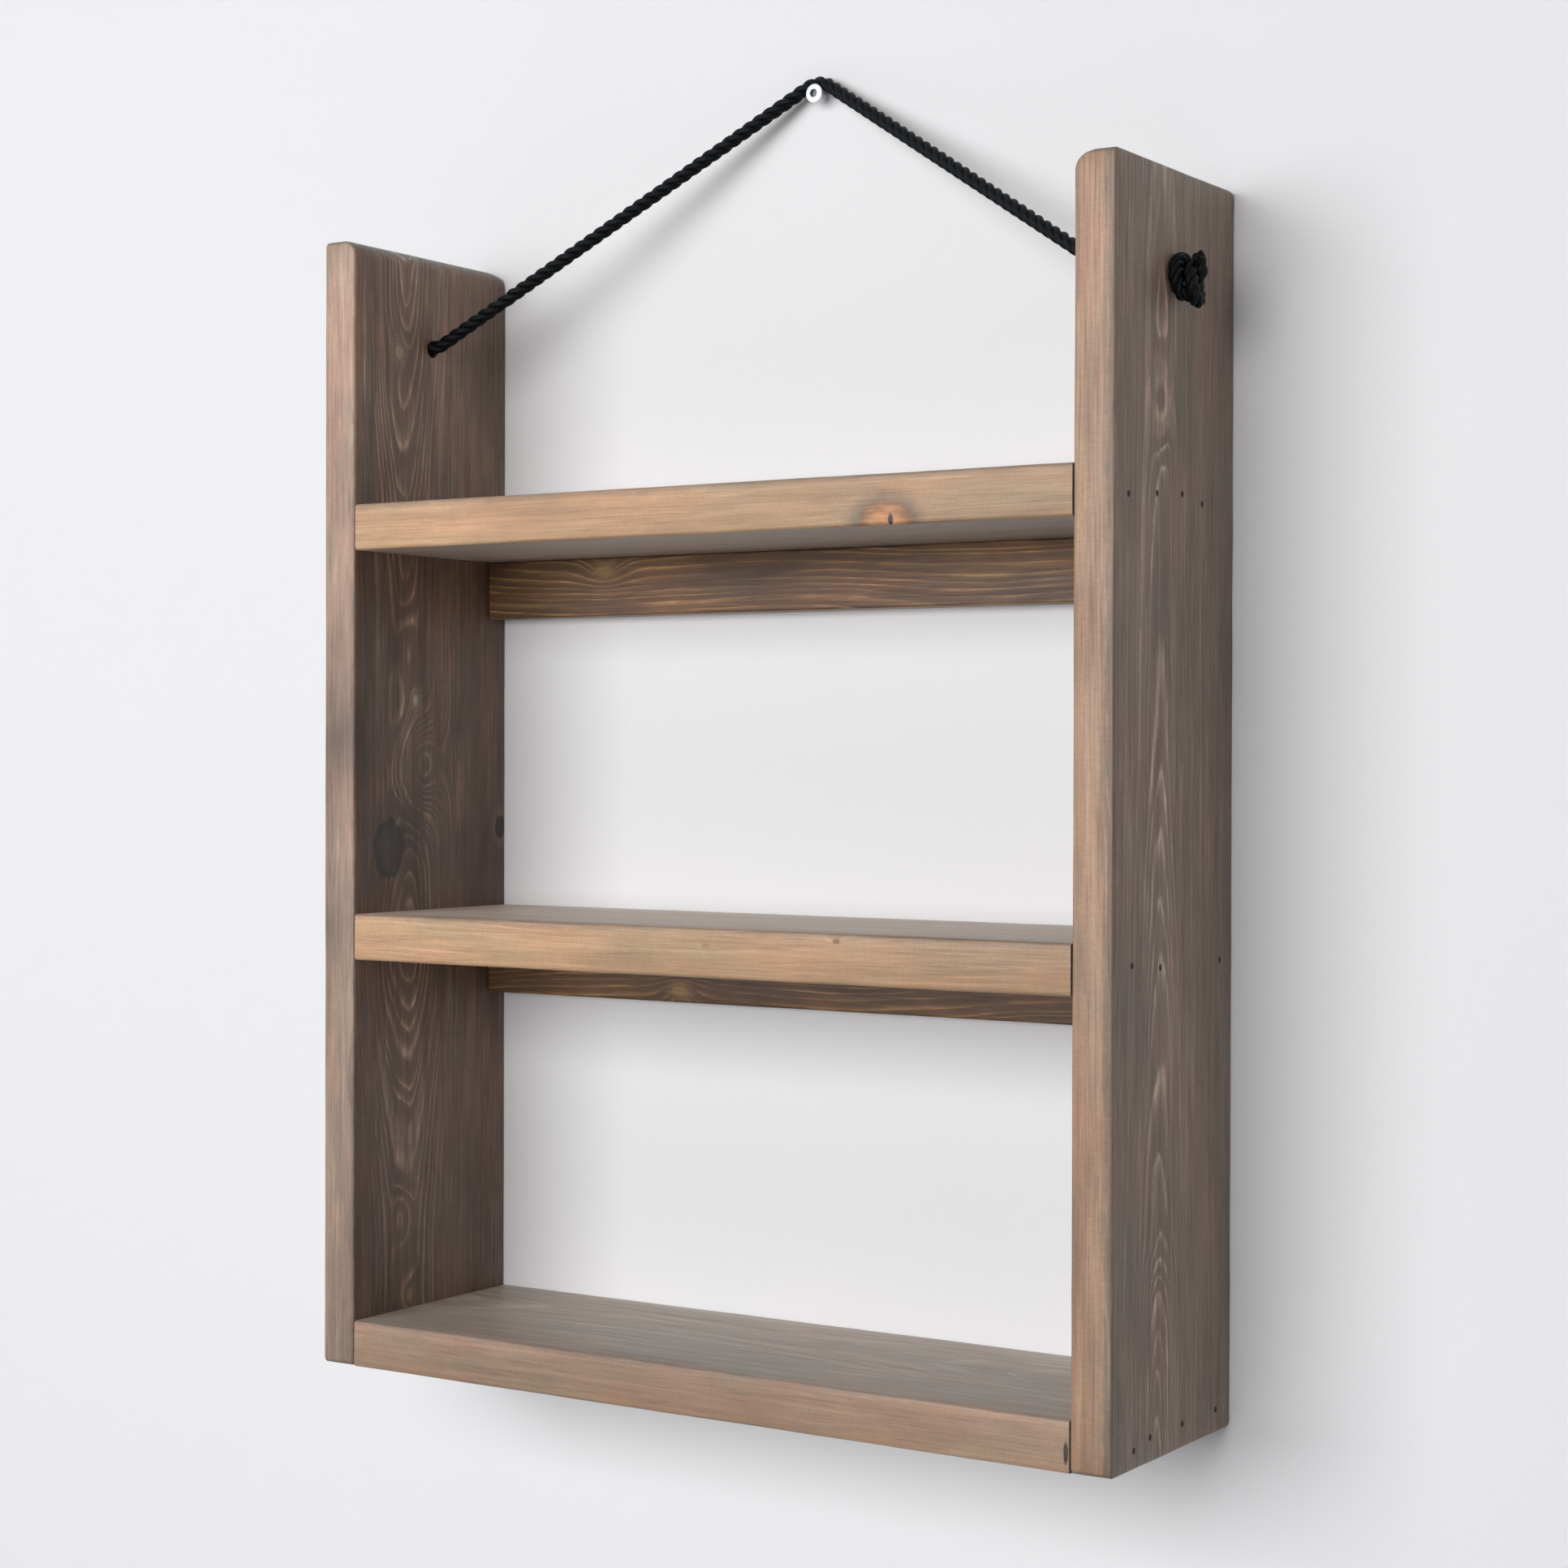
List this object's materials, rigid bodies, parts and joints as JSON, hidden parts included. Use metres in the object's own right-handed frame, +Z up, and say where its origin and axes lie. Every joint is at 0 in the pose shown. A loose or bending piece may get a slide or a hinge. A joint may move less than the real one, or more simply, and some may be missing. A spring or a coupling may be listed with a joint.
{
  "type": "hanging shelf",
  "caption": "Rustic wooden wall shelf with boards between tall sides, hung by a twisted rope from a wall screw",
  "frame": {"origin": "where the screw's axis meets the wall plane, on the middle line of the shelf", "axes": "+X to the viewer's right along the shelves, +Y into the wall, +Z up; the boards' backs lie on the wall plane, y = 0"},
  "size_m": [0.54, 0.176, 0.7397],
  "materials": {
    "side_wood": "grey-brown stained pine with darker grain, matt",
    "shelf_wood": "lighter stained pine with a few knots, matt",
    "rail_wood": "dark brown stained pine with golden grain lines, matt",
    "rope_fibre": "black three-strand twisted synthetic rope",
    "screw_zinc": "pale zinc plating",
    "nail_steel": "dulled steel finishing nails"
  },
  "bodies": {
    "wall_fixing": {"wall_screw": "screw_zinc"},
    "hanging_rope": {"rope": "rope_fibre", "left_knot": "rope_fibre", "right_knot": "rope_fibre"},
    "shelf_frame": {"left_side_board": "side_wood", "right_side_board": "side_wood", "top_shelf": "shelf_wood", "middle_shelf": "shelf_wood", "bottom_shelf": "shelf_wood", "top_back_rail": "rail_wood", "middle_back_rail": "rail_wood", "top_left_nail_1": "nail_steel", "top_left_nail_2": "nail_steel", "top_left_nail_3": "nail_steel", "top_left_nail_4": "nail_steel", "middle_left_nail_1": "nail_steel", "middle_left_nail_2": "nail_steel", "middle_left_nail_3": "nail_steel", "bottom_left_nail_1": "nail_steel", "bottom_left_nail_2": "nail_steel", "bottom_left_nail_3": "nail_steel", "bottom_left_nail_4": "nail_steel", "top_right_nail_1": "nail_steel", "top_right_nail_2": "nail_steel", "top_right_nail_3": "nail_steel", "top_right_nail_4": "nail_steel", "middle_right_nail_1": "nail_steel", "middle_right_nail_2": "nail_steel", "middle_right_nail_3": "nail_steel", "bottom_right_nail_1": "nail_steel", "bottom_right_nail_2": "nail_steel", "bottom_right_nail_3": "nail_steel", "bottom_right_nail_4": "nail_steel"}
  },
  "joints": [
    {"name": "rope_swing", "type": "hinge", "parent": "wall_fixing", "child": "hanging_rope", "pos_m": [0, 0, 0], "axis": [0, 1, 0], "range_deg": [-10, 10]},
    {"name": "frame_tilt", "type": "hinge", "parent": "hanging_rope", "child": "shelf_frame", "pos_m": [0, -0.07, -0.1358], "axis": [-1, 0, 0], "range_deg": [0, 15]}
  ]
}
